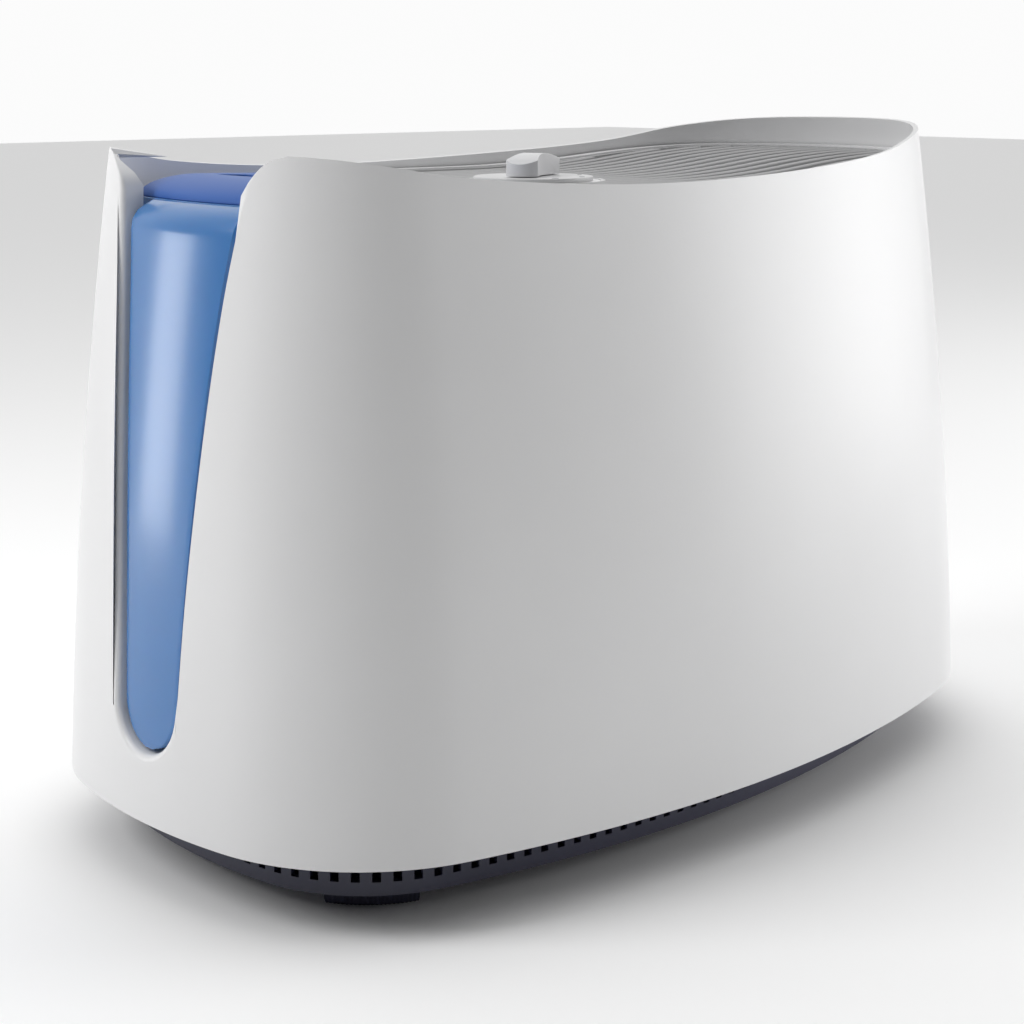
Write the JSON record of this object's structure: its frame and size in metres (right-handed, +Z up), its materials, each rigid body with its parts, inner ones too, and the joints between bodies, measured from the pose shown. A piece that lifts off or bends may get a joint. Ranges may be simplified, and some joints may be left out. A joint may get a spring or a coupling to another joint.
{
  "type": "cool mist humidifier",
  "caption": "Table-top evaporative humidifier: leaning white shell with a waved rim, blue lift-out tank behind an end slot, top grille, knob and dark water tray.",
  "frame": {"origin": "on the table, at the middle of the body's footprint", "axes": "+Z up, +X along the long side away from the water tank, +Y towards the rear"},
  "size_m": [0.434, 0.2576, 0.2818],
  "materials": {
    "white_shell": "satin",
    "white_trim": "satin",
    "grille_grey": "satin",
    "knob_white": "satin",
    "liner_white": "matte",
    "switch_body": "matte",
    "tank_blue": "gloss",
    "grip_blue": "satin",
    "cap_white": "satin",
    "seal_rubber": "matte",
    "spring_steel": "polished",
    "base_navy": "satin",
    "foot_rubber": "matte",
    "wick_paper": "matte",
    "frame_plastic": "matte",
    "zinc_steel": "satin",
    "shaft_steel": "polished",
    "black_rubber": "matte",
    "lead_jacket": "satin",
    "clip_nylon": "matte",
    "fan_plastic": "satin"
  },
  "bodies": {
    "base": {"base_tray": "base_navy", "rubber_feet": "foot_rubber", "wick_filter": "wick_paper", "filter_frame": "frame_plastic"},
    "housing": {"outer_housing": "white_shell", "top_deck": "white_trim", "outlet_grille": "grille_grey", "dial_plate": "white_trim", "rotary_switch": "switch_body", "tank_bay_liner": "liner_white", "fan_shroud": "liner_white", "motor_bracket": "zinc_steel", "motor_grommets": "black_rubber", "bracket_screws": "zinc_steel", "shroud_screws": "zinc_steel", "motor_can": "zinc_steel", "motor_end_bell": "zinc_steel", "cord_gland": "black_rubber", "supply_lead": "lead_jacket", "motor_lead": "lead_jacket", "lead_clips": "clip_nylon"},
    "knob": {"control_knob": "knob_white", "switch_shaft": "shaft_steel"},
    "fan": {"fan_blade": "fan_plastic", "motor_shaft": "shaft_steel", "fan_nut": "shaft_steel"},
    "tank": {"water_tank": "tank_blue", "tank_grip": "grip_blue"},
    "cap": {"tank_cap": "cap_white", "cap_gasket": "seal_rubber", "valve_spring": "spring_steel"},
    "valve": {"valve_plunger": "cap_white", "valve_seal": "seal_rubber"}
  },
  "joints": [
    {"name": "housing_lift", "type": "slide", "parent": "base", "child": "housing", "axis": [0, 0, 1], "range_m": [0, 0.18]},
    {"name": "tank_lift", "type": "slide", "parent": "housing", "child": "tank", "axis": [0, 0, 1], "range_m": [0, 0.28]},
    {"name": "cap_turn", "type": "hinge", "parent": "tank", "child": "cap", "pos_m": [-0.12, 0, 0.034], "axis": [0, 0, 1], "range_deg": [0, 180]},
    {"name": "valve_travel", "type": "slide", "parent": "cap", "child": "valve", "axis": [0, 0, 1], "range_m": [-0.005, 0], "deforming": ["valve_spring"]},
    {"name": "knob_turn", "type": "hinge", "parent": "housing", "child": "knob", "pos_m": [-0.016, 0, 0.262], "axis": [0, 0, 1], "range_deg": [-135, 0]},
    {"name": "fan_spin", "type": "hinge", "parent": "housing", "child": "fan", "pos_m": [0.092, 0, 0.181], "axis": [0, 0, 1], "continuous": true}
  ],
  "couplings": [
    {"joint": "valve_travel", "follows": "tank_lift", "ratio": -0.017857}
  ]
}
